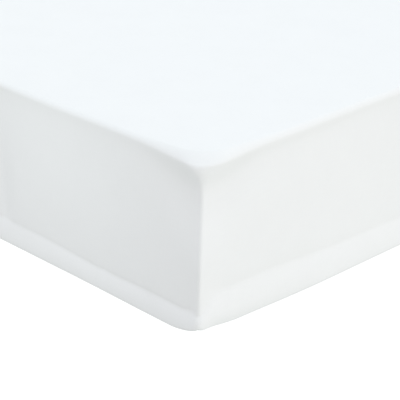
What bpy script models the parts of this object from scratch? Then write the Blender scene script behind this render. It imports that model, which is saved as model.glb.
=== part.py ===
"""A fitted sheet stretched over a plain single mattress.

Metres, +Z up. The origin is on the floor under the middle of the mattress. +Y runs along its
length, from the foot to the head, and +X across it. The sheet is one closed shell: a top panel,
four walls that meet in an upright seam at each corner, a fuller band over the mattress's lower
edge, and a return under the mattress that ends in the hem. The mattress is a plain padded block
inside it.
"""

import math
from collections import namedtuple

import bmesh
import bpy
import numpy as np
from mathutils import Vector

# ---- Driving dimensions --------------------------------------------------------------------------
WIDTH = 0.900  # between the planes of the side walls (X)
LENGTH = 1.900  # between the planes of the foot and head walls (Y)
HEIGHT = 0.200  # from the floor to the middle of the top panel
CLOTH = 0.0015  # thickness of the cloth
TOUCH_GAP = 0.0003  # between the cloth and the mattress where one lies on the other

# Places where every row of the sheet has a point. At a corner they lie on rays from a pivot inside
# it, at these angles from the seam. Along the walls they are evenly spaced.
CORNER_REACH = 0.052  # how far from the sharp corner any row may begin to bend
CORNER_RAYS = (3, 9, 18, 30, 45)
END_STEPS = 11  # steps along the foot or head wall
SIDE_STEPS = 22  # steps along a side wall

# The top roll, where the top panel turns into a wall. Near a corner it reaches further in.
ROLL_IN_ON_END = 0.0055  # how far in from the foot or head wall it begins
ROLL_IN_ON_SIDE = 0.0062  # and from a side wall
ROLL_IN_AT_CORNER = 0.0095
ROLL_DOWN_ON_END = 0.0060  # how far down it ends on the foot or head wall
ROLL_DOWN_ON_SIDE = 0.0075  # and on a side wall
ROLL_DOWN_AT_CORNER = 0.0068
ROLL_CORNER_REACH = 0.090  # how far from the seam it begins to widen
TOP_DIP = 0.0005  # how far the roll starts below the middle of the top

# The sheet's section, from the middle of the top to the hem.
# zone   says how a row's height is found: "top" is a depth below HEIGHT, "roll" is a share of the
#        turn, "wall" is a share of the way from the roll down to the crease, "band" is a share of
#        the crease's height above the floor, and "floor" lies on it.
# level  is that depth in metres, or that share.
# out    is how far the row stands outside the wall's plane, and a roll's rows come on top of that.
# uneven is the share of the cloth's unevenness that the row takes.
SHEET_SECTION = (
    # zone, level, out, uneven
    ("top", 0.0000, -0.1500, 0.0),
    ("top", 0.0002, -0.0700, 0.0),
    ("top", TOP_DIP, -0.0330, 0.1),
    ("roll", 0.00, 0.0000, 0.3),
    ("roll", 0.33, 0.0003, 0.4),
    ("roll", 0.67, 0.0008, 0.5),
    ("roll", 1.00, 0.0012, 0.6),
    ("wall", 0.05, 0.0008, 0.7),
    ("wall", 0.13, 0.0004, 0.8),
    ("wall", 0.40, 0.0008, 1.0),
    ("wall", 0.66, 0.0009, 1.0),
    ("wall", 0.88, 0.0000, 0.8),
    ("band", 1.15, -0.0012, 0.6),
    ("band", 1.02, -0.0019, 0.5),
    ("band", 0.86, 0.0009, 0.5),
    ("band", 0.64, 0.0023, 0.6),
    ("band", 0.36, 0.0032, 0.5),
    ("band", 0.15, 0.0030, 0.4),
    ("band", 0.03, 0.0004, 0.2),
    ("floor", 0.0, -0.0070, 0.0),
    ("floor", 0.0, -0.0500, 0.0),
    ("floor", 0.0, -0.1200, 0.0),
)

# How far from the sharp corner the bend in plan begins, on either wall: wide at the top and at the
# floor, and tight at the seam between them.
CORNER_BENDS = (
    # height above the floor, on the foot or head wall, on the side wall
    (0.000, 0.0460, 0.0460),
    (0.004, 0.0420, 0.0360),
    (0.010, 0.0380, 0.0180),
    (0.018, 0.0300, 0.0070),
    (0.026, 0.0060, 0.0045),
    (0.050, 0.0030, 0.0030),
    (0.160, 0.0030, 0.0030),
    (0.172, 0.0035, 0.0080),
    (0.180, 0.0050, 0.0180),
    (0.188, 0.0080, 0.0270),
    (0.194, 0.0180, 0.0300),
    (0.200, 0.0320, 0.0320),
)

# The crease over the band runs at this height far from a corner. At each corner it is low where
# the foot or head wall arrives and high where the side wall arrives, because the corner's seam
# pulls the cloth round to one side. The pull also leans the seam out of the upright.
CREASE_HEIGHT = 0.031
CORNERS = (
    # x side, y side, crease on the end wall, crease on the side wall, share of the lean
    (+1, -1, 0.025, 0.0475, 1.0),
    (+1, +1, 0.029, 0.043, 0.7),
    (-1, +1, 0.026, 0.046, 0.9),
    (-1, -1, 0.028, 0.044, 0.6),
)
END_FADE = 0.40  # how far along the foot or head wall a corner's crease height lasts
SIDE_FADE = 0.52  # how far along a side wall it lasts
TURN_WIDTH = 0.014  # how far past the seam the crease has climbed to the side wall's height
LEAN_TOP = -0.0023  # how far the seam leans towards the end wall at the top
LEAN_FLOOR = 0.0040  # and at the floor
LEAN_FADE = 0.220  # how far from the corner the walls follow the lean

# The slow unevenness of drawn cloth, as waves in the walls and in the crease's height. count is the
# number of waves round the whole bed, and late the share of a wave by which the first one is late.
WALL_WAVES = (
    # height, count, late
    (0.0010, 9, 0.15),
    (0.0007, 17, 0.60),
    (0.0005, 29, 0.35),
)
CREASE_WAVES = (
    # height, count, late
    (0.0009, 13, 0.05),
    (0.0008, 32, 0.40),
)

# The mattress's section, clear of the cloth's bends and waves. level is a depth below its top or
# a height above its base, inset is how far the row lies inside the sheet's wall plane, and bend is
# how far from its sharp corner it bends in plan.
MATTRESS_SECTION = (
    # side, level, inset, bend
    ("top", 0.0000, 0.1500, 0.034),
    ("top", 0.0005, 0.0700, 0.036),
    ("top", 0.0016, 0.0330, 0.040),
    ("top", 0.0042, 0.0180, 0.044),
    ("top", 0.0095, 0.0110, 0.046),
    ("top", 0.0180, 0.0085, 0.046),
    ("top", 0.0360, 0.0078, 0.044),
    ("base", 0.0400, 0.0078, 0.042),
    ("base", 0.0150, 0.0078, 0.042),
    ("base", 0.0045, 0.0105, 0.044),
    ("base", 0.0000, 0.0200, 0.046),
)
MATTRESS_RAYS = (15, 30, 45)

SHEET_COLOUR = (0.90, 0.92, 0.94, 1.0)
MATTRESS_COLOUR = (0.78, 0.77, 0.73, 1.0)
CLOTH_ROUGHNESS = 0.85


# ---- Stations: the places round the bed where every row has a point ------------------------------
# A station lies on a ray from a pivot, which is CORNER_REACH inside both walls of a corner, or a share
# of the way from that pivot to the next corner's. turned is the ray's angle from the normal of the
# wall before the corner, in degrees, and end_first says whether that wall is the foot or head wall.
Station = namedtuple("Station", "start end share ray turned end_first")
SEAM = 45


def make_stations(rays, end_steps, side_steps):
    """The stations, anticlockwise from the foot wall at +X. The middle ray of a corner is its seam."""
    turns = [SEAM - ray for ray in reversed(rays)] + [SEAM] + [SEAM + ray for ray in rays]
    stations = []
    for corner in range(len(CORNERS)):
        following = (corner + 1) % len(CORNERS)
        end_first = corner % 2 == 0
        steps = side_steps if end_first else end_steps
        places = [(corner, 0.0, turn) for turn in turns]
        places += [(following, step / steps, turns[-1]) for step in range(1, steps)]
        for end, share, turned in places:
            way = math.radians(90 * corner - 90 + turned)
            ray = Vector((math.cos(way), math.sin(way)))
            stations.append(Station(corner, end, share, ray, turned, end_first))
    return stations


def distance_to_wall(angle, before, after):
    """How far a ray goes from a pivot to the walls, which a quarter of an ellipse joins.

    It begins that far before the sharp corner and ends that far after it, so rows with unlike bends
    keep their points in line."""
    across, along = math.cos(angle), math.sin(angle)
    straight = CORNER_REACH / max(across, along)
    sideways, bend = (along, before) if across > along else (across, after)
    if straight * sideways <= CORNER_REACH - bend:
        return straight
    # The ray crosses the ellipse where a t^2 - 2 b t + c = 0.
    a = (across / after) ** 2 + (along / before) ** 2
    b = (CORNER_REACH - after) * across / after**2 + (CORNER_REACH - before) * along / before**2
    c = (CORNER_REACH / after - 1) ** 2 + (CORNER_REACH / before - 1) ** 2 - 1
    return (b + math.sqrt(max(b**2 - a * c, 0.0))) / a


def plan_point(station, out, on_end, on_side):
    """Where a row is at a station, from how far it stands out and how it bends at a corner."""
    start, end = (Vector(CORNERS[corner][:2]) for corner in (station.start, station.end))
    half = Vector((WIDTH / 2 + out - CORNER_REACH, LENGTH / 2 + out - CORNER_REACH))
    before, after = (on_end, on_side) if station.end_first else (on_side, on_end)
    distance = distance_to_wall(math.radians(station.turned), before, after)
    return start.lerp(end, station.share) * half + station.ray * distance


def along_wall(station):
    """Whether a station is on a side wall, and how far along its wall it is from the seam. The seam
    itself counts with the end wall."""
    past_seam = abs(station.turned - SEAM)
    on_side = past_seam > 0 and (station.turned > SEAM) == station.end_first
    if station.share == 0:
        return on_side, CORNER_REACH * (1 - math.tan(math.radians(SEAM - past_seam)))
    length = (LENGTH if station.end_first else WIDTH) - 2 * CORNER_REACH
    return on_side, CORNER_REACH + min(station.share, 1 - station.share) * length


def nearest_corner(station):
    return CORNERS[station.start if station.share < 0.5 else station.end]


# ---- Unevenness ----------------------------------------------------------------------------------
def smooth(share):
    """A share from 0 to 1, eased at both ends."""
    share = min(max(share, 0.0), 1.0)
    return share * share * (3 - 2 * share)


def wave(terms, way_round):
    """The sum of a table's waves at a share of the way round the bed."""
    return sum(
        height * math.sin(2 * math.pi * (count * way_round + late))
        for height, count, late in terms
    )


def ways_round(stations):
    """For each station, the share of the way round the bed that lies before it."""
    row = [plan_point(station, 0.0, CORNER_REACH, CORNER_REACH) for station in stations]
    steps = [(point - row[i - 1]).length for i, point in enumerate(row)]
    return [sum(steps[1 : i + 1]) / sum(steps) for i in range(len(row))]


def crease_height(station):
    """The height of the crease at a station, before its waves."""
    _, _, on_end, on_side, _ = nearest_corner(station)
    is_side, from_seam = along_wall(station)
    if not is_side:
        return CREASE_HEIGHT + (on_end - CREASE_HEIGHT) * smooth(1 - from_seam / END_FADE)
    height = CREASE_HEIGHT + (on_side - CREASE_HEIGHT) * smooth(1 - from_seam / SIDE_FADE)
    return on_end + (height - on_end) * smooth(from_seam / TURN_WIDTH)


def roll_sizes(station):
    """How far in and how far down the top roll reaches at a station."""
    is_side, from_seam = along_wall(station)
    near = smooth(1 - from_seam / ROLL_CORNER_REACH)
    inward = ROLL_IN_ON_SIDE if is_side else ROLL_IN_ON_END
    down = ROLL_DOWN_ON_SIDE if is_side else ROLL_DOWN_ON_END
    return inward + (ROLL_IN_AT_CORNER - inward) * near, down + (ROLL_DOWN_AT_CORNER - down) * near


def seam_lean(station, height):
    """How far the cloth near a corner has moved along with its leaning seam."""
    x_side, y_side, _, _, share = nearest_corner(station)
    _, from_seam = along_wall(station)
    towards_end = Vector((-x_side, y_side)).normalized()
    amount = LEAN_FLOOR + (LEAN_TOP - LEAN_FLOOR) * height / HEIGHT
    return towards_end * amount * share * smooth(1 - from_seam / LEAN_FADE)


# ---- The two pieces ------------------------------------------------------------------------------
def loft(name, rows, close_base):
    """A mesh object through rows of equally many points, top first, with a flat cap on top."""
    mesh = bmesh.new()
    lofted = [[mesh.verts.new(point) for point in row] for row in rows]
    for upper, lower in zip(lofted, lofted[1:]):
        for i in range(len(upper)):
            mesh.faces.new((upper[i - 1], lower[i - 1], lower[i], upper[i]))
    mesh.faces.new(lofted[0])
    if close_base:
        mesh.faces.new(reversed(lofted[-1]))
    data = bpy.data.meshes.new(name)
    mesh.to_mesh(data)
    mesh.free()
    return bpy.data.objects.new(name, data)


def sheet_point(station, way_round, zone, level, out, uneven):
    """Where one row of the sheet's outer face is at a station."""
    crease = crease_height(station) + wave(CREASE_WAVES, way_round)
    roll_in, roll_down = roll_sizes(station)
    turn = math.radians(90 * level) if zone == "roll" else math.radians(90)
    wall_top = HEIGHT - TOP_DIP - roll_down
    height = {
        "top": HEIGHT - level,
        "roll": wall_top + roll_down * math.cos(turn),
        "wall": wall_top * (1 - level) + crease * level,
        "band": crease * level,
        "floor": 0.0,
    }[zone]
    out += uneven * wave(WALL_WAVES, way_round) - roll_in * (1 - math.sin(turn))
    bend_heights, *bends = zip(*CORNER_BENDS)
    on_end, on_side = (float(np.interp(height, bend_heights, bend)) for bend in bends)
    point = plan_point(station, out, on_end, on_side) + seam_lean(station, height)
    return point.x, point.y, height


def make_sheet():
    stations = make_stations(CORNER_RAYS, END_STEPS, SIDE_STEPS)
    places = list(zip(stations, ways_round(stations)))
    rows = [[sheet_point(*place, *section) for place in places] for section in SHEET_SECTION]
    sheet = loft("sheet", rows, close_base=False)
    cloth = sheet.modifiers.new("cloth", "SOLIDIFY")
    cloth.thickness = CLOTH
    cloth.offset = -1
    cloth.use_even_offset = True
    return sheet


def make_mattress():
    stations = make_stations(MATTRESS_RAYS, end_steps=1, side_steps=1)
    base = CLOTH + TOUCH_GAP
    rows = []
    for side, level, inset, bend in MATTRESS_SECTION:
        height = HEIGHT - base - level if side == "top" else base + level
        flat = [plan_point(station, -inset, bend, bend) for station in stations]
        rows.append([(point.x, point.y, height) for point in flat])
    return loft("mattress", rows, close_base=True)


# ---- Finish --------------------------------------------------------------------------------------
def cloth_material(name, colour):
    material = bpy.data.materials.new(name)
    material.use_nodes = True
    shader = material.node_tree.nodes["Principled BSDF"]
    shader.inputs["Base Color"].default_value = colour
    shader.inputs["Roughness"].default_value = CLOTH_ROUGHNESS
    shader.inputs["Metallic"].default_value = 0.0
    return material


def add_piece(piece, material, collection):
    piece.data.materials.append(material)
    piece.data.shade_smooth()
    collection.objects.link(piece)


def main():
    for thing in list(bpy.data.objects):
        bpy.data.objects.remove(thing)
    collection = bpy.data.collections.new("fitted sheet on mattress")
    bpy.context.scene.collection.children.link(collection)
    add_piece(make_sheet(), cloth_material("white cotton", SHEET_COLOUR), collection)
    add_piece(make_mattress(), cloth_material("mattress cover", MATTRESS_COLOUR), collection)


main()
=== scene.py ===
"""The looks of a fitted sheet stretched over a single mattress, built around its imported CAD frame.

Metres, +Z up. The origin is on the floor under the middle of the mattress. +Y runs from the foot of
the bed to its head, and +X across it. The camera sees the corner between the foot wall and the side
wall at +X.
"""

import math
from functools import reduce

import bmesh
import bpy
import numpy as np
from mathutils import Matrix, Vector


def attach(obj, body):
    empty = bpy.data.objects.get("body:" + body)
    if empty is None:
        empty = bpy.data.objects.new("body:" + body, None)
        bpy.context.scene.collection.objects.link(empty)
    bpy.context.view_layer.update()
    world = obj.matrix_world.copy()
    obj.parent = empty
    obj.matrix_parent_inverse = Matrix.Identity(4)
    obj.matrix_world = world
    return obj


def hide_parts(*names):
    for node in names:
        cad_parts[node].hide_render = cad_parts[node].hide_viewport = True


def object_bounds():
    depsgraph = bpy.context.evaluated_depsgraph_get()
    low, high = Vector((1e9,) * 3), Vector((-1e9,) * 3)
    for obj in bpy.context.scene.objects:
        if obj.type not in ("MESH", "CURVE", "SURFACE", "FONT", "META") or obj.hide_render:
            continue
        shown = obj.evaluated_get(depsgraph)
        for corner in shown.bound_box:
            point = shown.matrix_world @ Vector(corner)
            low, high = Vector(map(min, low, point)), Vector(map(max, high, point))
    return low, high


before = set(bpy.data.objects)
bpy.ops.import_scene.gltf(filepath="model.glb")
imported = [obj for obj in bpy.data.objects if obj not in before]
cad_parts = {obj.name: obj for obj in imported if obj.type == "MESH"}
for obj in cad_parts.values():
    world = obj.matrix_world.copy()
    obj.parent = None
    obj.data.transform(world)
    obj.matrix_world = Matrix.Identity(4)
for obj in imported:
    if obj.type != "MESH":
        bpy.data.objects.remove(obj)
cad_low, cad_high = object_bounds()

# ---- The sheet's sizes ---------------------------------------------------------------------------
WIDTH = 0.900  # between the planes of the side walls (X)
LENGTH = 1.900  # between the planes of the foot and head walls (Y)
HEIGHT = cad_high.z - cad_low.z
CLOTH = 0.0013  # thickness
RETURN_WIDTH = 0.1200  # of the cloth that is drawn in under the mattress, from the wall to the hem
HEM_WIDTH = 0.0120
HEM_HEIGHT = 0.0034  # of the folded hem, on the floor
HEM_RISES = 0.0160  # how far from its fold the cloth begins to rise to the stitches
HEM_TURNS = 0.0010  # how far from it the cloth turns up and back
STITCHES_IN = 0.0095  # how far from the hem's fold its stitches are
STITCH_ROOM = 0.0006  # how far the hem is off the floor there
STITCH_PITCH = 0.0034
STITCH_LENGTH = 0.0027
STITCH_THICKNESS = 0.0006
STITCH_FLATNESS = 0.6  # a stitch's height as a share of its thickness
STITCH_SIDES = 6
STITCH_RINGS = (
    # where along the stitch, as a share of its length, and how thick it is there
    (-0.50, 0.35),
    (-0.32, 1.00),
    (0.32, 1.00),
    (0.50, 0.35),
)

# Places where every row of the sheet has a point. At a corner they lie on rays from a pivot inside
# it, at these angles from the seam, and along the walls at steps that widen away from the corners.
CORNER_REACH = 0.052  # how far from the sharp corner any row may begin to bend
CORNER_RAYS = (0.45, 1.1, 2.0, 3.1, 4.6, 6.4, 8.6, 11.4, 15, 19.5, 25, 31, 38, 45)
CLOSE_REACH = 0.32  # how far from a corner its own step lasts
STEP_GROWTH = 0.06  # how much of its distance past there each step gains
WIDEST_STEP = 0.0150

# The top roll, where the top panel turns into a wall. Near a corner it reaches further in, and its
# turn is flatter.
ROLL_IN_ON_END = 0.0040  # how far in from the foot or head wall it begins
ROLL_IN_ON_SIDE = 0.0032  # and from a side wall
ROLL_IN_AT_CORNER = 0.0098
ROLL_DOWN_ON_END = 0.0056  # how far down it ends on the foot or head wall
ROLL_DOWN_ON_SIDE = 0.0072  # and on a side wall
ROLL_DOWN_AT_CORNER = 0.0112
ROLL_CORNER_REACH = 0.105  # how far from the seam it begins to widen
ROLL_FLATTER_AT_CORNER = 0.4  # how much the turn's power grows there, which flattens its middle
TOP_DIP = 0.0005  # how far the roll starts below the middle of the top

# The hollow under the roll: how deep it is, over what height below the roll it reaches that depth,
# and how far below the roll it has faded out. The pull along the seam draws it in near a corner.
HOLLOW_ON_END = (0.0002, 0.012, 0.050)
HOLLOW_ON_SIDE = (0.0014, 0.012, 0.050)
HOLLOW_AT_CORNER = (0.0080, 0.028, 0.110)
HOLLOW_CORNER_REACH = 0.100
HOLLOW_SIDE_REACH = 0.400  # how far along a side wall its own hollow lasts

# The rows of the sheet's section, from the top panel to the hem.
# zone   says how a row's height is found: "top" is a depth below HEIGHT, "roll" is a share of the
#        turn, "wall" is a share of the way from the roll down to the crease, "band" is a share of
#        the crease's height above the floor, and "floor" is a height above it.
# out    is how far the row stands outside the wall's plane, and a roll's rows come on top of that
# uneven is the share of the walls' waves that the row takes
# steps  is how many rows lead on to the next one
SECTION = (
    # zone, level, out, uneven, steps
    ("top", 0.0000, -0.3800, 0.0, 1),
    ("top", 0.0000, -0.2800, 0.0, 1),
    ("top", 0.0000, -0.2000, 0.0, 1),
    ("top", 0.0000, -0.1400, 0.0, 1),
    ("top", 0.0000, -0.1000, 0.0, 1),
    ("top", 0.0002, -0.0700, 0.0, 2),
    ("top", TOP_DIP, -0.0330, 0.1, 2),
    ("roll", 0.00, 0.0000, 0.3, 3),
    ("roll", 0.35, 0.0004, 0.4, 4),
    ("roll", 0.75, 0.0014, 0.5, 3),
    ("roll", 1.00, 0.0017, 0.6, 2),
    ("wall", 0.022, 0.0012, 0.7, 2),
    ("wall", 0.07, 0.0006, 0.7, 2),
    ("wall", 0.15, 0.0005, 0.8, 2),
    ("wall", 0.25, 0.0006, 0.9, 2),
    ("wall", 0.40, 0.0008, 1.0, 3),
    ("wall", 0.66, 0.0009, 1.0, 4),
    ("wall", 0.88, 0.0003, 0.8, 3),
    ("band", 1.16, -0.0005, 0.6, 3),
    ("band", 1.03, -0.0011, 0.5, 2),
    ("band", 0.95, -0.0009, 0.5, 2),
    ("band", 0.84, 0.0000, 0.5, 2),
    ("band", 0.64, 0.0017, 0.6, 3),
    ("band", 0.36, 0.0031, 0.5, 2),
    ("band", 0.16, 0.0034, 0.4, 2),
    ("band", 0.045, 0.0024, 0.3, 2),
    ("band", 0.006, -0.0009, 0.1, 2),
    ("floor", 0.0, -0.0070, 0.0, 2),
    ("floor", 0.0, -0.0500, 0.0, 2),
    ("floor", 0.0, HEM_RISES - RETURN_WIDTH, 0.0, 1),
    ("floor", STITCH_ROOM, STITCHES_IN - RETURN_WIDTH, 0.0, 1),
    ("floor", STITCH_ROOM, HEM_TURNS - RETURN_WIDTH, 0.0, 1),
    ("floor", 0.5 * HEM_HEIGHT, -RETURN_WIDTH, 0.0, 1),
    ("floor", HEM_HEIGHT, HEM_TURNS - RETURN_WIDTH, 0.0, 1),
    ("floor", HEM_HEIGHT, HEM_WIDTH - RETURN_WIDTH, 0.0, 0),
)

# The mattress's section, clear of the cloth's bends and waves. The folded hem presses its base up.
# level  is a depth below its top or a height above its base
# inset  is how far the row lies inside the sheet's wall plane
# bend   is how far from its sharp corner it bends in plan
MATTRESS_TOP = HEIGHT - 0.0028
MATTRESS_BASE = 0.0017
MATTRESS_SECTION = (
    # side, level, inset, bend, steps
    ("top", 0.0000, 0.1500, 0.036, 1),
    ("top", 0.0005, 0.0700, 0.036, 2),
    ("top", 0.0016, 0.0330, 0.040, 2),
    ("top", 0.0042, 0.0180, 0.044, 2),
    ("top", 0.0095, 0.0110, 0.046, 2),
    ("top", 0.0180, 0.0085, 0.046, 1),
    ("top", 0.0360, 0.0078, 0.044, 3),
    ("base", 0.0400, 0.0078, 0.044, 1),
    ("base", 0.0190, 0.0082, 0.046, 2),
    ("base", 0.0085, 0.0110, 0.048, 2),
    ("base", 0.0036, 0.0180, 0.050, 1),
    ("base", 0.0010, 0.0280, 0.050, 1),
    ("base", 0.0003, 0.0550, 0.046, 1),
    ("base", 0.0012, 0.0850, 0.046, 1),
    ("base", 0.0030, 0.1040, 0.046, 1),
    ("base", 0.0030, 0.1290, 0.046, 2),
    ("base", 0.0009, 0.1400, 0.046, 2),
    ("base", 0.0000, 0.1600, 0.046, 1),
    ("base", 0.0000, 0.2600, 0.046, 1),
    ("base", 0.0000, 0.3800, 0.046, 0),
)

# The lower edge is drawn in a little on a side wall near a seam.
TUCK_REACH = 0.190  # how far along the wall
TUCK_RISE = 0.15  # the share of that over which it grows, from the seam on
TUCK_DEPTH = 0.0030
TUCK_HEIGHT = 0.016  # up to where it reaches

# The elastic lifts the lower edge off the floor at a corner.
LIFT = 0.0080  # at the seam
LIFT_REACH_ON_END = 0.040  # how far from the seam it has faded out on a foot or head wall
LIFT_REACH_ON_SIDE = 0.060  # and on a side wall
LIFT_POWER = 1.6  # over 1, so that most of it comes close to the seam
LIFT_FULL_IN = 0.006  # how far in under the mattress the lift is still whole
LIFT_FADE_IN = 0.016  # and over what width further in it fades out

# How far from the sharp corner the bend in plan begins, on either wall: wide at the top and at the
# floor, and tight at the seam between them.
CORNER_BENDS = (
    # height above the floor, on the foot or head wall, on the side wall
    (0.000, 0.0200, 0.0200),
    (0.008, 0.0100, 0.0100),
    (0.018, 0.0070, 0.0070),
    (0.026, 0.0050, 0.0045),
    (0.050, 0.0030, 0.0030),
    (0.156, 0.0030, 0.0030),
    (0.168, 0.0050, 0.0100),
    (0.177, 0.0095, 0.0230),
    (0.185, 0.0180, 0.0330),
    (0.193, 0.0310, 0.0350),
    (0.200, 0.0350, 0.0350),
)

# The crease over the band. At a corner it is low where the foot or head wall arrives and high where
# the side wall arrives, because the seam pulls the cloth round to one side, which also leans it.
CREASE_HEIGHT = 0.029
CORNERS = (
    # x side, y side, crease on the end wall, crease on the side wall, share of the lean, step
    (+1, -1, 0.0245, 0.0427, 1.0, 0.0042),
    (+1, +1, 0.0270, 0.0380, 0.7, 0.0085),
    (-1, +1, 0.0245, 0.0410, 0.9, 0.0085),
    (-1, -1, 0.0260, 0.0390, 0.6, 0.0085),
)
END_FADE = 0.40  # how far along the foot or head wall a corner's crease height lasts
SIDE_FADE = 0.62  # how far along a side wall it lasts
END_LIFT = 0.0042  # how much higher still the crease is on a foot or head wall right at the seam
END_LIFT_REACH = 0.026
SIDE_LIFT = 0.0045  # and on a side wall
SIDE_LIFT_REACH = 0.055
LAP_WIDTH = 0.0220  # how far past the seam it has climbed from the one to the other
CREASE_ROWS = 0.8  # the band's rows over this share of the crease's height form the crease
END_OPEN = 0.0120  # the crease is shallower up to this far from the seam, on a foot or head wall
SIDE_OPEN = 0.0380  # and on a side wall
LEAN_TOP = -0.0023  # how far the seam leans towards the end wall at the top
LEAN_FLOOR = 0.0040  # and at the floor
LEAN_FADE = 0.220  # how far from the corner the walls follow the lean

# The slow unevenness of drawn cloth. count is the number of waves round the whole bed, and late the
# share of a wave by which the first one is late.
WALL_WAVES = ((0.0010, 9, 0.15), (0.0007, 17, 0.60), (0.0005, 29, 0.35))
CREASE_WAVES = ((0.0009, 13, 0.05), (0.0008, 32, 0.40))

# Soft troughs that single pulls leave in the cloth, and ridges, whose depth is under 0. Each fades
# out past its reach, across itself and lengthwise, and slant turns it from the upright, in degrees.
CREASES = (
    # corner, on a side wall, from the seam, height, reach across, reach lengthwise, slant, depth
    (0, 0, 0.332, 0.080, 0.016, 0.045, 4, 0.0050),
    (0, 0, 0.327, 0.040, 0.006, 0.014, 30, 0.0022),
    (0, 0, 0.151, 0.029, 0.003, 0.006, 20, 0.0009),
    (0, 0, 0.060, 0.100, 0.030, 0.060, 8, 0.0007),
    (0, 0, 0.016, 0.050, 0.008, 0.040, -4, 0.0006),
    (0, 1, 0.036, 0.036, 0.004, 0.018, -18, 0.0007),
    (0, 1, 0.047, 0.030, 0.004, 0.015, 10, -0.0005),
    (0, 1, 0.058, 0.024, 0.005, 0.020, -10, 0.0006),
    (0, 1, 0.019, 0.014, 0.003, 0.008, -12, 0.0005),
    (0, 1, 0.193, 0.034, 0.009, 0.010, 16, -0.0006),
    (0, 1, 0.270, 0.026, 0.010, 0.012, -8, -0.0005),
    (1, 0, 0.030, 0.060, 0.009, 0.050, 10, 0.0009),
    (1, 0, 0.075, 0.034, 0.007, 0.026, -12, 0.0011),
    (1, 0, 0.190, 0.030, 0.010, 0.024, 15, 0.0009),
    (1, 1, 0.040, 0.050, 0.006, 0.028, -16, 0.0012),
    (1, 1, 0.066, 0.036, 0.006, 0.024, 12, -0.0007),
    (1, 1, 0.210, 0.040, 0.012, 0.036, -10, 0.0010),
    (2, 0, 0.024, 0.044, 0.006, 0.030, -12, 0.0011),
    (2, 0, 0.110, 0.040, 0.010, 0.040, 14, 0.0010),
    (2, 1, 0.032, 0.060, 0.007, 0.040, 12, 0.0010),
    (2, 1, 0.052, 0.040, 0.006, 0.026, -14, 0.0009),
    (2, 1, 0.340, 0.036, 0.012, 0.030, 8, 0.0008),
    (3, 0, 0.036, 0.050, 0.007, 0.036, 14, 0.0010),
    (3, 0, 0.230, 0.036, 0.012, 0.030, -12, 0.0011),
    (3, 1, 0.026, 0.050, 0.006, 0.030, -14, 0.0010),
    (3, 1, 0.090, 0.044, 0.009, 0.036, 10, 0.0009),
)

# Small gathers that the elastic leaves in the band, at places drawn at random, and the waves that it
# leaves in the hem, with the same terms as the walls' waves above.
CREASE_FREE = 0.006  # the height below which the gathers and the single creases fade out
GATHERS = 150
GATHER_SEED = 12
GATHER_TOP = 1.2  # where they end, as a share of the crease's height
GATHER_REACH = (0.004, 0.012)
GATHER_DEPTH = 0.00035
HEM_WAVES_IN = ((0.0016, 61, 0.10), (0.0011, 97, 0.70))
HEM_WAVES_UP = ((0.0005, 61, 0.35), (0.0003, 127, 0.20))

# The faint unevenness of the top panel, none of it over the top's level.
TOP_WAVES_FROM = 0.030  # how far in from the walls it begins
TOP_WAVES_FADE = 0.060  # and over what width it grows to its full height
TOP_WAVES = (
    # height, waves in a metre along X and along Y, late
    (0.00022, 2.1, 1.3, 0.10),
    (0.00018, -1.6, 2.9, 0.45),
    (0.00014, 4.3, 1.9, 0.80),
)

# ---- Camera, fitted to the photo's top, crease and bottom lines ----------------------------------
PHOTO_SIZE = 400  # pixels
FOCAL_PIXELS = 1530.1
SENSOR = 36.0  # millimetres
CAMERA_FROM_CORNER = Vector((1.0016, -0.9764, 0.7675))  # from the near corner, on the floor
CAMERA_AZIMUTH = 45.79
CAMERA_ELEVATION = 23.586
SIGHT = 200.0  # how far it sees

# ---- Floor and light -----------------------------------------------------------------------------
FLOOR_SIZE = 60.0
FLOOR_DROP = 0.0005  # how far it lies below the bed, so that the two never coincide
FLOOR_COLOUR = (0.30, 0.30, 0.30)
FLOOR_GLOW = 0.90

# A white studio dome. Its brightness is a sum of terms, each a colour times a product of the way's
# x, y and z taken to these powers.
DOME = (
    # x, y, z, colour
    (0, 0, 0, (0.884, 0.994, 1.004)),
    (1, 0, 0, (0.098, 0.093, 0.080)),
    (0, 1, 0, (0.126, 0.121, 0.114)),
    (0, 0, 1, (0.210, 0.204, 0.235)),
    (2, 0, 0, (0.110, 0.000, -0.020)),
    (0, 2, 0, (-0.180, -0.330, -0.340)),
)

# A small soft light close to the foot wall and lower than its top.
FOOT_LIGHT_AT = Vector((0.20, -1.20, 0.170))
FOOT_LIGHT_AIM = Vector((0.20, -0.95, 0.160))
FOOT_LIGHT_SIZE = (0.24, 0.06)
FOOT_LIGHT_WATTS = 0.10
FOOT_LIGHT_COLOUR = (0.90, 1.0, 0.97)


# ---- Small maths ---------------------------------------------------------------------------------
def towards(azimuth, elevation):
    """The way from the bed to something at those angles. Azimuth 0 is past its foot, 90 past +X."""
    azimuth, elevation = math.radians(azimuth), math.radians(elevation)
    flat = math.cos(elevation)
    return Vector((math.sin(azimuth) * flat, -math.cos(azimuth) * flat, math.sin(elevation)))


def smooth(share):
    """A soft step from 0 to 1, level where the share is 0 or less and where it is 1 or more."""
    share = np.clip(share, 0.0, 1.0)
    return share * share * (3 - 2 * share)


def wave(terms, way_round):
    """A sum of waves that close on themselves round the bed."""
    return sum(h * np.sin(2 * math.pi * (count * way_round + late)) for h, count, late in terms)


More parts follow.
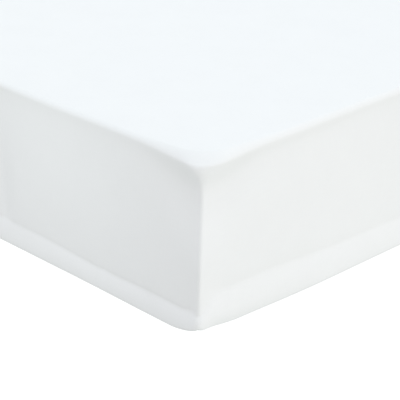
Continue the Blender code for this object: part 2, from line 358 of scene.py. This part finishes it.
def through(values, steps):
    """Rows between control rows, on curves that never overshoot a control row."""
    knots = np.concatenate([[0.0], np.cumsum(steps)])
    rise = np.diff(values, axis=0) / np.diff(knots)[:, None]
    same_way = rise[1:] * rise[:-1] > 0
    total = np.where(same_way, rise[1:] + rise[:-1], 1.0)
    slope = np.zeros_like(values)
    slope[1:-1] = np.where(same_way, 2 * rise[1:] * rise[:-1] / total, 0.0)
    slope[0], slope[-1] = rise[0], rise[-1]
    rows = []
    for i, count in enumerate(steps):
        span = knots[i + 1] - knots[i]
        for t in np.arange(count) / count:
            rows.append(
                (2 * t**3 - 3 * t**2 + 1) * values[i]
                + (t**3 - 2 * t**2 + t) * span * slope[i]
                + (3 * t**2 - 2 * t**3) * values[i + 1]
                + (t**3 - t**2) * span * slope[i + 1]
            )
    rows.append(values[-1])
    return np.array(rows)


# ---- Stations: the places round the bed where every row has a point ------------------------------
def wall_shares(length, first_step, last_step):
    """Where along a straight wall the stations are, as shares of it."""
    places = [0.0]
    while places[-1] < length:
        from_first, from_last = places[-1], length - places[-1]
        places.append(
            places[-1]
            + min(
                WIDEST_STEP,
                first_step + STEP_GROWTH * max(0.0, from_first - CLOSE_REACH),
                last_step + STEP_GROWTH * max(0.0, from_last - CLOSE_REACH),
            )
        )
    return np.array(places[1:-1]) / places[-1]


class Stations:
    """Arrays with one entry for each place round the bed, anticlockwise from above."""

    def __init__(self):
        corners = np.array(CORNERS, float)
        table = []
        offsets = sorted([-ray for ray in CORNER_RAYS] + [0] + list(CORNER_RAYS))
        for corner in range(len(CORNERS)):
            following = (corner + 1) % len(CORNERS)
            normal = 90 * corner - 90
            table += [(corner, corner, 0, normal + 45 + turn, 45 + turn) for turn in offsets]
            length = (LENGTH if corner % 2 == 0 else WIDTH) - 2 * CORNER_REACH
            shares = wall_shares(length, corners[corner, -1], corners[following, -1])
            table += [(corner, following, share, normal + 90, 90) for share in shares]
        start, end, self.share, way, self.turned = np.array(table, float).T
        start, end = start.astype(int), end.astype(int)
        self.count = len(table)
        self.start, self.end = corners[start, :2], corners[end, :2]
        self.ray = np.stack([np.cos(np.radians(way)), np.sin(np.radians(way))], axis=1)
        self.nearest = np.where(self.share < 0.5, start, end)
        self.corner = corners[self.nearest]

        self.end_first = start % 2 == 0
        bends = np.full(self.count, CORNER_REACH)
        place = self.plan(0.0, bends, bends)
        step = np.linalg.norm(place - np.roll(place, 1, axis=0), axis=1)
        self.all_round = step.sum()
        self.way_round = (np.cumsum(step) - step[0]) / self.all_round

        # Which wall each place is on, and how far along it from the seam. The seam itself counts
        # with the end wall, since the side wall's cloth laps over it.
        self.on_side = np.where(self.end_first, self.turned > 45, self.turned < 45)
        past_seam = np.abs(self.turned - 45)
        bent = CORNER_REACH * (1 - np.tan(np.radians(45 - past_seam)))
        length = np.where(self.end_first, LENGTH, WIDTH) - 2 * CORNER_REACH
        straight = CORNER_REACH + np.minimum(self.share, 1 - self.share) * length
        self.from_seam = np.where(self.share > 0, straight, bent)

    def reach(self, on_end, on_side):
        """How far each ray goes to the walls, which a bend of those extents joins."""
        across = np.abs(np.cos(np.radians(self.turned)))
        along = np.abs(np.sin(np.radians(self.turned)))
        first, second = np.where(self.end_first, (on_end, on_side), (on_side, on_end))
        straight = CORNER_REACH / np.maximum(across, along)
        # The bend is a quarter of an ellipse, and the ray crosses it where a t^2 - 2 b t + c = 0.
        a = (across / second) ** 2 + (along / first) ** 2
        b = (CORNER_REACH - second) * across / second**2 + (CORNER_REACH - first) * along / first**2
        c = (CORNER_REACH / second - 1) ** 2 + (CORNER_REACH / first - 1) ** 2 - 1
        bent = (b + np.sqrt(np.maximum(b**2 - a * c, 0.0))) / a
        on_first = (across > along) & (straight * along <= CORNER_REACH - first)
        on_second = (along >= across) & (straight * across <= CORNER_REACH - second)
        return np.where(on_first | on_second, straight, bent)

    def plan(self, out, on_end, on_side):
        """The plan points of one row, whose measures may differ from place to place."""
        out = np.broadcast_to(out, self.count)
        half = np.stack([WIDTH / 2 + out, LENGTH / 2 + out], axis=-1) - CORNER_REACH
        share = self.share[:, None]
        pivot = (self.start * (1 - share) + self.end * share) * half
        return pivot + self.ray * self.reach(on_end, on_side)[:, None]


at = Stations()


# ---- The sheet's form ----------------------------------------------------------------------------
def roll_sizes():
    """How far in and down the top roll reaches at each station, and how near it is to a seam."""
    near = smooth(1 - at.from_seam / ROLL_CORNER_REACH)
    inward = np.where(at.on_side, ROLL_IN_ON_SIDE, ROLL_IN_ON_END)
    down = np.where(at.on_side, ROLL_DOWN_ON_SIDE, ROLL_DOWN_ON_END)
    inward = inward + (ROLL_IN_AT_CORNER - inward) * near
    return inward, down + (ROLL_DOWN_AT_CORNER - down) * near, near


def crease_height():
    """How high the crease over the band is at each station."""
    on_end, on_side = at.corner[:, 2:4].T
    end = CREASE_HEIGHT + (on_end - CREASE_HEIGHT) * smooth(1 - at.from_seam / END_FADE)
    side = CREASE_HEIGHT + (on_side - CREASE_HEIGHT) * smooth(1 - at.from_seam / SIDE_FADE)
    side = side + SIDE_LIFT * smooth(1 - at.from_seam / SIDE_LIFT_REACH)
    end = end + END_LIFT * smooth(1 - at.from_seam / END_LIFT_REACH)
    side = on_end + END_LIFT + (side - on_end - END_LIFT) * smooth(at.from_seam / LAP_WIDTH)
    return np.where(at.on_side, side, end) + wave(CREASE_WAVES, at.way_round)


def single_creases(heights):
    """How far the single creases draw each point of the rows in."""
    depths = np.zeros_like(heights)
    for corner, on_side, from_seam, height, across_reach, long_reach, slant, depth in CREASES:
        turn = math.radians(slant)
        along, up = at.from_seam - from_seam, heights - height
        across = (along * math.cos(turn) + up * math.sin(turn)) / across_reach
        lengthwise = (up * math.cos(turn) - along * math.sin(turn)) / long_reach
        there = (at.nearest == corner) & (at.on_side == on_side)
        depths += np.where(there, depth * np.exp(-(across**2) - lengthwise**2), 0.0)
    return depths


def gathers(heights, crease):
    """How far the elastic's small gathers draw each point of the band in or out."""
    chance = np.random.default_rng(GATHER_SEED)
    depths = np.zeros(at.count)
    for _ in range(GATHERS):
        place, reach = chance.random(), chance.uniform(*GATHER_REACH)
        away = np.abs(at.way_round - place)
        away = np.minimum(away, 1 - away) * at.all_round
        depths += chance.uniform(-GATHER_DEPTH, GATHER_DEPTH) * np.exp(-((away / reach) ** 2))
    share = np.clip(heights / crease, 0.0, GATHER_TOP) / GATHER_TOP
    return depths * np.sin(math.pi * share)


def hollow(heights, wall_top):
    """How far the wall is drawn in just under the roll."""
    along_side = (at.on_side * smooth(1 - at.from_seam / HOLLOW_SIDE_REACH))[:, None]
    near = smooth(1 - at.from_seam / HOLLOW_CORNER_REACH)[:, None]
    on_end, on_side, at_corner = np.array((HOLLOW_ON_END, HOLLOW_ON_SIDE, HOLLOW_AT_CORNER))
    sizes = on_end + (on_side - on_end) * along_side
    depth, drop, end = (sizes + (at_corner - sizes) * near).T
    below = wall_top - heights
    return depth * smooth(below / drop) * smooth((end - below) / (end - drop))


def tucked_in(heights):
    """How far the lower edge is drawn in on a side wall near a seam."""
    along = at.from_seam / TUCK_REACH
    depth = TUCK_DEPTH * smooth(along / TUCK_RISE) * smooth(1 - along)
    return np.where(at.on_side, depth, 0.0) * smooth(1 - heights / TUCK_HEIGHT)


def lifted(heights, outs, crease):
    """How far the elastic lifts the lower edge near a seam."""
    near = 1 - at.from_seam / np.where(at.on_side, LIFT_REACH_ON_SIDE, LIFT_REACH_ON_END)
    share = smooth(1 - heights / crease) * smooth(1 + (outs + LIFT_FULL_IN) / LIFT_FADE_IN)
    return LIFT * np.clip(near, 0, 1) ** LIFT_POWER * share


def section_rows(crease):
    """The heights of the sheet's rows, how far outside the walls' planes they stand, and the height
    at which the walls begin, all at each station."""
    roll_in, roll_down, near = roll_sizes()
    waves = wave(WALL_WAVES, at.way_round)
    wall_top = HEIGHT - TOP_DIP - roll_down
    power = 1 + ROLL_FLATTER_AT_CORNER * near
    opened = smooth(at.from_seam / np.where(at.on_side, SIDE_OPEN, END_OPEN))
    heights, outs = [], []
    for zone, level, out, uneven, _ in SECTION:
        height, inset = np.zeros(at.count), 0.0
        if zone == "top":
            height = height + HEIGHT - level
        elif zone == "roll":
            turn = math.radians(90 * level)
            height = HEIGHT - TOP_DIP - roll_down * (1 - math.cos(turn) ** power)
            inset = roll_in * (1 - math.sin(turn) ** power)
        elif zone == "wall":
            height = wall_top * (1 - level) + crease * level
        elif zone == "band":
            height = crease * level
            out = out * opened if level > CREASE_ROWS else out
        else:
            height = height + level
        heights.append(height)
        outs.append(out + uneven * waves - inset)
    steps = [row[-1] for row in SECTION[:-1]]
    return through(np.array(heights), steps), through(np.array(outs), steps), wall_top


def sheet_rows():
    """The sheet's outer face as an array of rows, stations and x, y, z."""
    crease = crease_height()
    heights, outs, wall_top = section_rows(crease)
    outs -= hollow(heights, wall_top) + tucked_in(heights)
    outs -= (single_creases(heights) + gathers(heights, crease)) * smooth(heights / CREASE_FREE)
    heights += lifted(heights, outs, crease)
    drawn_in = smooth(-outs / RETURN_WIDTH) * (heights < HEIGHT / 2)
    outs += drawn_in * wave(HEM_WAVES_IN, at.way_round)
    heights += drawn_in * np.abs(wave(HEM_WAVES_UP, at.way_round))
    bend_heights, *extents = np.transpose(CORNER_BENDS)
    ends, sides = (np.interp(heights, bend_heights, extent) for extent in extents)

    lean_way = np.stack([-at.corner[:, 0], at.corner[:, 1]], axis=1) / math.sqrt(2)
    lean_near = at.corner[:, 4] * smooth(1 - at.from_seam / LEAN_FADE)
    rows = []
    for height, out, end, side in zip(heights, outs, ends, sides):
        lean = (LEAN_FLOOR + (LEAN_TOP - LEAN_FLOOR) * height / HEIGHT) * lean_near
        flat = at.plan(out, end, side) + lean_way * lean[:, None]
        inside = smooth((-out - TOP_WAVES_FROM) / TOP_WAVES_FADE) * (height > HEIGHT / 2)
        height = height + inside * top_waves(*flat.T)
        rows.append(np.column_stack([flat, height]))
    return np.array(rows)


def top_waves(x, y):
    """The faint unevenness of the top panel, none of it over the top's level."""
    crests = sum(abs(h) for h, *_ in TOP_WAVES)
    phases = ((h, 2 * math.pi * (by_x * x + by_y * y + late)) for h, by_x, by_y, late in TOP_WAVES)
    return sum(h * np.sin(phase) for h, phase in phases) - crests


def mattress_rows():
    """The mattress's face as an array like the sheet's."""
    heights, insets, bends = [], [], []
    for side, level, inset, bend, _ in MATTRESS_SECTION:
        heights.append(MATTRESS_TOP - level if side == "top" else MATTRESS_BASE + level)
        insets.append(inset)
        bends.append(bend)
    steps = [row[-1] for row in MATTRESS_SECTION[:-1]]
    smoothed = through(np.column_stack([heights, insets, bends]), steps)
    around = np.ones(at.count)
    return np.array(
        [
            np.column_stack([at.plan(-inset, bend * around, bend * around), height * around])
            for height, inset, bend in smoothed
        ]
    )


# ---- Meshes --------------------------------------------------------------------------------------
def new_piece(name, data, material):
    """An object in the scene with that mesh and material, riding on the part's one body."""
    data.shade_smooth()
    data.materials.append(material)
    piece = bpy.data.objects.new(name, data)
    bpy.context.scene.collection.objects.link(piece)
    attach(piece, "root")
    return piece


def loft(name, rows, close_base):
    """A mesh through rows of equally many points, top first, with a flat panel on top, and one
    underneath where the base is closed."""
    index = np.arange(rows.shape[0] * rows.shape[1]).reshape(rows.shape[:2])
    upper, lower = index[:-1], index[1:]
    upper_before, lower_before = (np.roll(row, 1, axis=1) for row in (upper, lower))
    quads = np.stack([upper_before, lower_before, lower, upper], axis=-1).reshape(-1, 4)
    faces = quads.tolist() + [index[0].tolist()]
    if close_base:
        faces.append(index[-1, ::-1].tolist())
    data = bpy.data.meshes.new(name)
    data.from_pydata(rows.reshape(-1, 3).tolist(), [], faces)
    return data


def row_number(column, value):
    """Which of the sheet's rows is the first in SECTION with that value in that column."""
    place = [row[column] for row in SECTION].index(value)
    return sum(row[-1] for row in SECTION[:place])


def lay_flat(data, rows):
    """Give a loft's faces their place in the flat cut, in metres: the top panel as it lies, and the
    walls and the return folded out from the row where the roll begins."""
    first = row_number(0, "roll")
    step = np.diff(rows, axis=0)
    unfolded = []
    for axis in (0, 1):
        drop = np.hypot(step[..., axis], step[..., 2])
        drop[:first] = 0.0
        drop = np.concatenate([np.zeros((1, at.count)), np.cumsum(drop, axis=0)])
        place = rows[..., axis].copy()
        place[first:] = np.sign(place[first]) * (np.abs(place[first]) + drop[first:])
        unfolded.append(place)
    on_side = np.stack([unfolded[0], rows[..., 1]], axis=-1).reshape(-1, 2)
    on_end = np.stack([rows[..., 0], unfolded[1]], axis=-1).reshape(-1, 2)

    corners = np.zeros(len(data.loops), int)
    data.loops.foreach_get("vertex_index", corners)
    side_faces = np.tile(at.on_side | np.roll(at.on_side, 1), len(rows) - 1)
    sides = np.concatenate([np.repeat(side_faces, 4), np.zeros(at.count, bool)])
    flat = np.where(sides[:, None], on_side[corners], on_end[corners])
    data.uv_layers.new(name="cloth").data.foreach_set("uv", flat.ravel())


def hem_stitches(name, rows):
    """A row of stitches through the hem, each a small capsule, joined in one mesh."""
    line = rows[row_number(2, STITCHES_IN - RETURN_WIDTH)]
    line = np.concatenate([line, line[:1]])
    length = np.concatenate([[0.0], np.cumsum(np.linalg.norm(np.diff(line, axis=0), axis=1))])
    count = int(length[-1] / STITCH_PITCH)
    middles = (np.arange(count) + 0.5) * length[-1] / count
    points = []
    for shift, _ in STITCH_RINGS:
        along = (middles + shift * STITCH_LENGTH) % length[-1]
        points.append(np.stack([np.interp(along, length, line[:, i]) for i in range(3)], axis=-1))
    points = np.stack(points, axis=1)
    ahead = points[:, -1] - points[:, 0]
    ahead /= np.linalg.norm(ahead, axis=1)[:, None]
    across = np.cross(ahead, (0.0, 0.0, 1.0))
    corners = []
    for ring, (_, thickness) in enumerate(STITCH_RINGS):
        for turn in np.radians(np.arange(STITCH_SIDES) * 360 / STITCH_SIDES):
            up = np.array((0.0, 0.0, STITCH_FLATNESS * math.sin(turn)))
            offset = across * math.cos(turn) + up
            corners.append(points[:, ring] + offset * thickness * STITCH_THICKNESS / 2)
    corners = np.stack(corners, axis=1)
    each = corners.shape[1]
    one = np.arange(each).reshape(len(STITCH_RINGS), STITCH_SIDES)
    following = np.roll(one, -1, axis=1)
    quads = np.stack([one[:-1], following[:-1], following[1:], one[1:]], axis=-1).reshape(-1, 4)
    shape = [*quads.tolist(), one[0, ::-1].tolist(), one[-1].tolist()]
    faces = [[i + each * stitch for i in face] for stitch in range(count) for face in shape]
    data = bpy.data.meshes.new(name)
    data.from_pydata(corners.reshape(-1, 3).tolist(), [], faces)
    return data


# ---- Materials -----------------------------------------------------------------------------------
CLOTH_SPECULAR = 0.2


def principled(name, colour, roughness, specular):
    """A new material and its shader."""
    material = bpy.data.materials.new(name)
    material.use_nodes = True
    shader = material.node_tree.nodes["Principled BSDF"]
    shader.inputs["Base Color"].default_value = (*colour, 1.0)
    shader.inputs["Roughness"].default_value = roughness
    shader.inputs["Specular IOR Level"].default_value = specular
    return material, shader


class Nodes:
    """Short ways to add nodes to a material or a world."""

    def __init__(self, owner):
        self.tree = owner.node_tree

    def add(self, kind, inputs=(), **settings):
        """A node with those settings, whose inputs are links or values."""
        node = self.tree.nodes.new(kind)
        for name, value in settings.items():
            setattr(node, name, value)
        for socket, value in dict(inputs).items():
            if isinstance(value, bpy.types.NodeSocket):
                self.tree.links.new(value, node.inputs[socket])
            else:
                node.inputs[socket].default_value = value
        return node

    def math(self, operation, *values):
        inputs = dict(enumerate(values))
        return self.add("ShaderNodeMath", inputs, operation=operation).outputs[0]

    def stretched(self, place, scale):
        """That place with each axis times its own scale."""
        inputs = {"Vector": place, "Scale": scale}
        return self.add("ShaderNodeMapping", inputs).outputs["Vector"]

    def noise(self, place, detail=2.0, roughness=0.5):
        """Smooth noise around 0, from about -0.5 to 0.5, one lump to a unit."""
        inputs = {"Vector": place, "Scale": 1.0, "Detail": detail, "Roughness": roughness}
        noise = self.add("ShaderNodeTexNoise", inputs, noise_dimensions="3D")
        return self.math("SUBTRACT", noise.outputs[0], 0.5)

    def total(self, terms):
        """The sum of values, each times its own height."""
        total = 0.0
        for value, height in terms:
            total = self.math("MULTIPLY_ADD", value, height, total)
        return total

    def tinted(self, colour, value, strength):
        """A colour that grows lighter and darker with a value by that share."""
        inputs = {0: colour, "Scale": self.math("MULTIPLY_ADD", value, strength, 1.0)}
        return self.add("ShaderNodeVectorMath", inputs, operation="SCALE").outputs["Vector"]

    def finish(self, shader, height, colour, roughness):
        """Link the shader to a relief in metres, a colour and a roughness."""
        bump = self.add("ShaderNodeBump", {"Height": height, "Distance": 1.0, "Strength": 1.0})
        self.tree.links.new(bump.outputs["Normal"], shader.inputs["Normal"])
        self.tree.links.new(colour, shader.inputs["Base Color"])
        self.tree.links.new(roughness, shader.inputs["Roughness"])


COTTON = (0.90, 0.905, 0.91)
COTTON_ROUGHNESS = 0.85
COTTON_SHEEN = 0.06
COTTON_SHEEN_ROUGHNESS = 0.5
THREAD = 0.00034  # from one thread to the next
# Lumps in a metre of cloth, and how high each kind stands.
SLUBS_ALONG, SLUBS_ACROSS = 55, 1400  # of a thread
CRUMPLES = 75
PULLS = 18
WEAVE_HEIGHT = 0.00001
SLUB_HEIGHT = 0.00002
CRUMPLE_HEIGHT = 0.00016
PULL_HEIGHT = 0.00055
COTTON_MOTTLE = 0.05  # how far the colour varies


def cotton_material():
    """Plain woven cotton: threads, uneven thicker ones, and the small creases of washed cloth."""
    material, shader = principled("white_cotton", COTTON, COTTON_ROUGHNESS, CLOTH_SPECULAR)
    shader.inputs["Sheen Weight"].default_value = COTTON_SHEEN
    shader.inputs["Sheen Roughness"].default_value = COTTON_SHEEN_ROUGHNESS
    nodes = Nodes(material)
    place = nodes.add("ShaderNodeUVMap", uv_map="cloth").outputs["UV"]
    axes = nodes.add("ShaderNodeSeparateXYZ", {"Vector": place})
    waves = [
        nodes.math("SINE", nodes.math("MULTIPLY", axes.outputs[axis], math.pi / THREAD))
        for axis in "XY"
    ]
    weave = nodes.math("MULTIPLY", *waves)
    slubs_along = nodes.noise(nodes.stretched(place, (SLUBS_ALONG, SLUBS_ACROSS, 1)))
    slubs_across = nodes.noise(nodes.stretched(place, (SLUBS_ACROSS, SLUBS_ALONG, 1)))
    crumple = nodes.noise(nodes.stretched(place, (CRUMPLES, CRUMPLES, 1)), detail=3.0)
    drawn = nodes.noise(nodes.stretched(place, (PULLS, PULLS, 1)))
    height = nodes.total(
        [
            (weave, WEAVE_HEIGHT),
            (slubs_along, SLUB_HEIGHT),
            (slubs_across, SLUB_HEIGHT),
            (crumple, CRUMPLE_HEIGHT),
            (drawn, PULL_HEIGHT),
        ]
    )
    patches = nodes.total([(drawn, 0.5), (slubs_along, 0.6), (slubs_across, 0.6), (weave, 0.12)])
    colour = nodes.tinted(COTTON, patches, COTTON_MOTTLE)
    roughness = nodes.total([(weave, 0.03), (patches, 0.1), (COTTON_ROUGHNESS, 1.0)])
    nodes.finish(shader, height, colour, roughness)
    return material


COVER = (0.78, 0.77, 0.73)
COVER_ROUGHNESS = 0.9
KNIT_ACROSS = 0.0016  # from one column of stitches to the next
KNIT_ALONG = 0.0012  # from one course to the next
RIB_HEIGHT = 0.00010
LOOP_HEIGHT = 0.00007
WORN_PLACES = 25  # in a metre
WORN_HEIGHT = 0.0006
COVER_MOTTLE = 0.06  # how far the colour varies


def cover_material():
    """Plain jersey: columns of small loops, slightly uneven."""
    material, shader = principled("mattress_cover", COVER, COVER_ROUGHNESS, CLOTH_SPECULAR)
    nodes = Nodes(material)
    place = nodes.add("ShaderNodeTexCoord").outputs["Object"]
    axes = nodes.add("ShaderNodeSeparateXYZ", {"Vector": place})
    columns = nodes.math("MULTIPLY", axes.outputs["X"], 2 * math.pi / KNIT_ACROSS)
    courses = nodes.math("MULTIPLY", axes.outputs["Y"], 2 * math.pi / KNIT_ALONG)
    # Each column's loops lean to one side and then to the other, like the arms of a V.
    lean = nodes.math("MULTIPLY", nodes.math("ABSOLUTE", nodes.math("SINE", columns)), math.pi)
    ribs = nodes.math("COSINE", columns)
    loops = nodes.math("SINE", nodes.math("ADD", courses, lean))
    worn = nodes.noise(nodes.stretched(place, (WORN_PLACES, WORN_PLACES, WORN_PLACES)))
    height = nodes.total([(ribs, RIB_HEIGHT), (loops, LOOP_HEIGHT), (worn, WORN_HEIGHT)])
    patches = nodes.total([(worn, 1.0), (loops, 0.25), (ribs, 0.3)])
    colour = nodes.tinted(COVER, patches, COVER_MOTTLE)
    nodes.finish(shader, height, colour, nodes.total([(worn, 0.1), (COVER_ROUGHNESS, 1.0)]))
    return material


# ---- The pieces ----------------------------------------------------------------------------------
cotton = cotton_material()
cloth_rows = sheet_rows()
sheet = new_piece("sheet_cloth", loft("sheet_cloth", cloth_rows, close_base=False), cotton)
lay_flat(sheet.data, cloth_rows)
thickness = sheet.modifiers.new("cloth", "SOLIDIFY")
thickness.thickness = CLOTH
thickness.offset = -1
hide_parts("sheet")

stitches = new_piece("hem_stitches", hem_stitches("hem_stitches", cloth_rows), cotton)

block = loft("mattress_block", mattress_rows(), close_base=True)
mattress = new_piece("mattress_block", block, cover_material())
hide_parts("mattress")


# ---- Studio --------------------------------------------------------------------------------------
def make_floor():
    """A white floor that hides no light from the bed and throws none on it."""
    material, shader = principled("floor_white", FLOOR_COLOUR, roughness=1.0, specular=0.0)
    shader.inputs["Emission Color"].default_value = (1, 1, 1, 1)
    shader.inputs["Emission Strength"].default_value = FLOOR_GLOW
    data = bpy.data.meshes.new("floor")
    maker = bmesh.new()
    bmesh.ops.create_grid(maker, x_segments=1, y_segments=1, size=FLOOR_SIZE)
    maker.to_mesh(data)
    maker.free()
    data.materials.append(material)
    floor = bpy.data.objects.new("floor", data)
    floor.location.z = -FLOOR_DROP
    floor.visible_diffuse = False
    floor.visible_glossy = False
    floor.visible_shadow = False
    bpy.context.scene.collection.objects.link(floor)


def make_camera():
    """The camera, from which the near corner is seen as in the photo."""
    camera = bpy.data.objects.new("camera", bpy.data.cameras.new("camera"))
    bpy.context.scene.collection.objects.link(camera)
    bpy.context.scene.camera = camera
    camera.data.sensor_fit = "HORIZONTAL"
    camera.data.sensor_width = SENSOR
    camera.data.lens = SENSOR * FOCAL_PIXELS / PHOTO_SIZE
    camera.data.clip_end = SIGHT
    camera.location = Vector((WIDTH / 2, -LENGTH / 2, 0)) + CAMERA_FROM_CORNER
    camera.rotation_mode = "QUATERNION"
    looking = -towards(CAMERA_AZIMUTH, CAMERA_ELEVATION)
    camera.rotation_quaternion = looking.to_track_quat("-Z", "Y")


def make_dome():
    """The world, as bright each way as DOME says."""
    world = bpy.data.worlds.new("dome")
    bpy.context.scene.world = world
    world.use_nodes = True
    nodes = Nodes(world)
    way = nodes.add("ShaderNodeTexCoord").outputs["Generated"]
    axes = nodes.add("ShaderNodeSeparateXYZ", {"Vector": way}).outputs
    total = (0, 0, 0)
    for *powers, colour in DOME:
        factors = [axes[axis] for axis, power in zip("XYZ", powers) for _ in range(power)]
        product = (1, 1, 1)
        if factors:
            product = reduce(lambda first, second: nodes.math("MULTIPLY", first, second), factors)
        inputs = {0: product, 1: colour, 2: total}
        total = nodes.add("ShaderNodeVectorMath", inputs, operation="MULTIPLY_ADD").outputs["Vector"]
    nodes.tree.links.new(total, nodes.tree.nodes["Background"].inputs["Color"])


def make_foot_light():
    light = bpy.data.objects.new("foot_light", bpy.data.lights.new("foot_light", "AREA"))
    light.data.shape = "RECTANGLE"
    light.data.size, light.data.size_y = FOOT_LIGHT_SIZE
    light.data.energy = FOOT_LIGHT_WATTS
    light.data.color = FOOT_LIGHT_COLOUR
    light.location = FOOT_LIGHT_AT
    light.rotation_mode = "QUATERNION"
    light.rotation_quaternion = (FOOT_LIGHT_AIM - FOOT_LIGHT_AT).to_track_quat("-Z", "Y")
    bpy.context.scene.collection.objects.link(light)


make_floor()
make_camera()
make_dome()
make_foot_light()
bpy.context.scene.view_settings.view_transform = "Standard"
bpy.context.scene.view_settings.look = "None"
